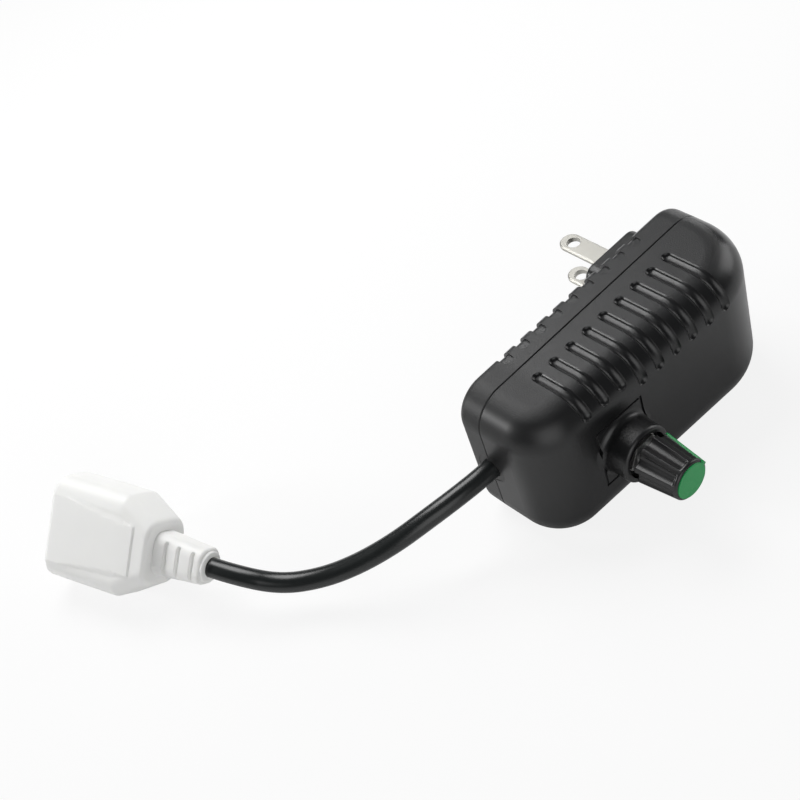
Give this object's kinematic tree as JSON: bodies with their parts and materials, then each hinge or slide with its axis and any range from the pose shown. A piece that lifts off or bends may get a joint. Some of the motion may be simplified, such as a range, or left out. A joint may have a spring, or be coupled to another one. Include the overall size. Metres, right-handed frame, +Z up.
{
  "type": "motor speed controller",
  "caption": "Plug-in motor speed controller: a moulded case with flat plug blades behind, a turning knob in front and a short output cord ending in an in-line socket.",
  "frame": {"origin": "middle of the footprint of the case, knob and blades, on the side the case lies on", "axes": "+X along the case away from the cord, +Y the way the plug blades point, +Z up across the case width"},
  "size_m": [0.1791, 0.1416, 0.0445],
  "materials": {
    "front_plastic": "moulded black plastic, fine spark texture on the sides, smooth satin face",
    "back_plastic": "moulded black plastic, fine spark texture",
    "blade_plate": "nickel-plated brass",
    "grommet_rubber": "soft black rubber",
    "cord_sheath": "black flexible sheath, slightly glossy",
    "socket_plastic": "soft white moulding, satin",
    "socket_insert_plastic": "white moulding",
    "relief_plastic": "soft white moulding",
    "knob_plastic": "black satin plastic",
    "knob_green": "green plastic cap",
    "plated_steel": "zinc plated",
    "phenolic": "brown phenolic",
    "tinned": "tinned brass",
    "aluminium_shaft": "turned",
    "board": "paper phenolic board",
    "screw_steel": "zinc plated",
    "aluminium_sink": "rolled sheet",
    "epoxy": "black epoxy",
    "ferrite": "sintered ferrite",
    "enamelled_copper": "enamelled copper wire",
    "capacitor_case": "yellow plastic case",
    "film_brown": "dipped film capacitor",
    "fuse_glass": "glass tube with plated end caps",
    "resistor_coat": "lacquered film resistor",
    "diac_glass": "small glass case",
    "wire_insulation": "PVC insulation",
    "brass_spring": "spring brass"
  },
  "bodies": {
    "case": {"front_housing": "front_plastic", "back_cover": "back_plastic", "blade_upper": "blade_plate", "blade_lower": "blade_plate", "cord_grommet": "grommet_rubber", "cord": "cord_sheath", "socket_shell": "socket_plastic", "socket_insert": "socket_insert_plastic", "socket_relief": "relief_plastic", "pot_bushing": "plated_steel", "pot_wafer": "phenolic", "pot_terminals": "tinned", "pot_can": "plated_steel", "pot_washer": "plated_steel", "pot_nut": "plated_steel", "circuit_board": "board", "board_screws": "screw_steel", "heatsink": "aluminium_sink", "triac": "epoxy", "triac_screw": "screw_steel", "triac_nut": "screw_steel", "choke_core": "ferrite", "choke_winding": "enamelled_copper", "line_capacitor": "capacitor_case", "timing_capacitor": "film_brown", "fuse": "fuse_glass", "fuse_clips": "tinned", "resistors": "resistor_coat", "diac": "diac_glass", "blade_retainer": "phenolic", "blade_wires": "wire_insulation", "cord_conductors": "wire_insulation", "cord_tail": "cord_sheath", "cord_clamp": "phenolic", "clamp_screws": "screw_steel", "case_screws": "screw_steel", "socket_contacts": "brass_spring"},
    "knob": {"knob_body": "knob_plastic", "knob_cap": "knob_green", "pot_shaft": "aluminium_shaft", "pot_wiper": "phenolic"}
  },
  "joints": [
    {"name": "knob_turn", "type": "hinge", "parent": "case", "child": "knob", "pos_m": [-0.01725, 0, 0.02225], "axis": [0, -1, 0], "range_deg": [-175, 125]}
  ]
}
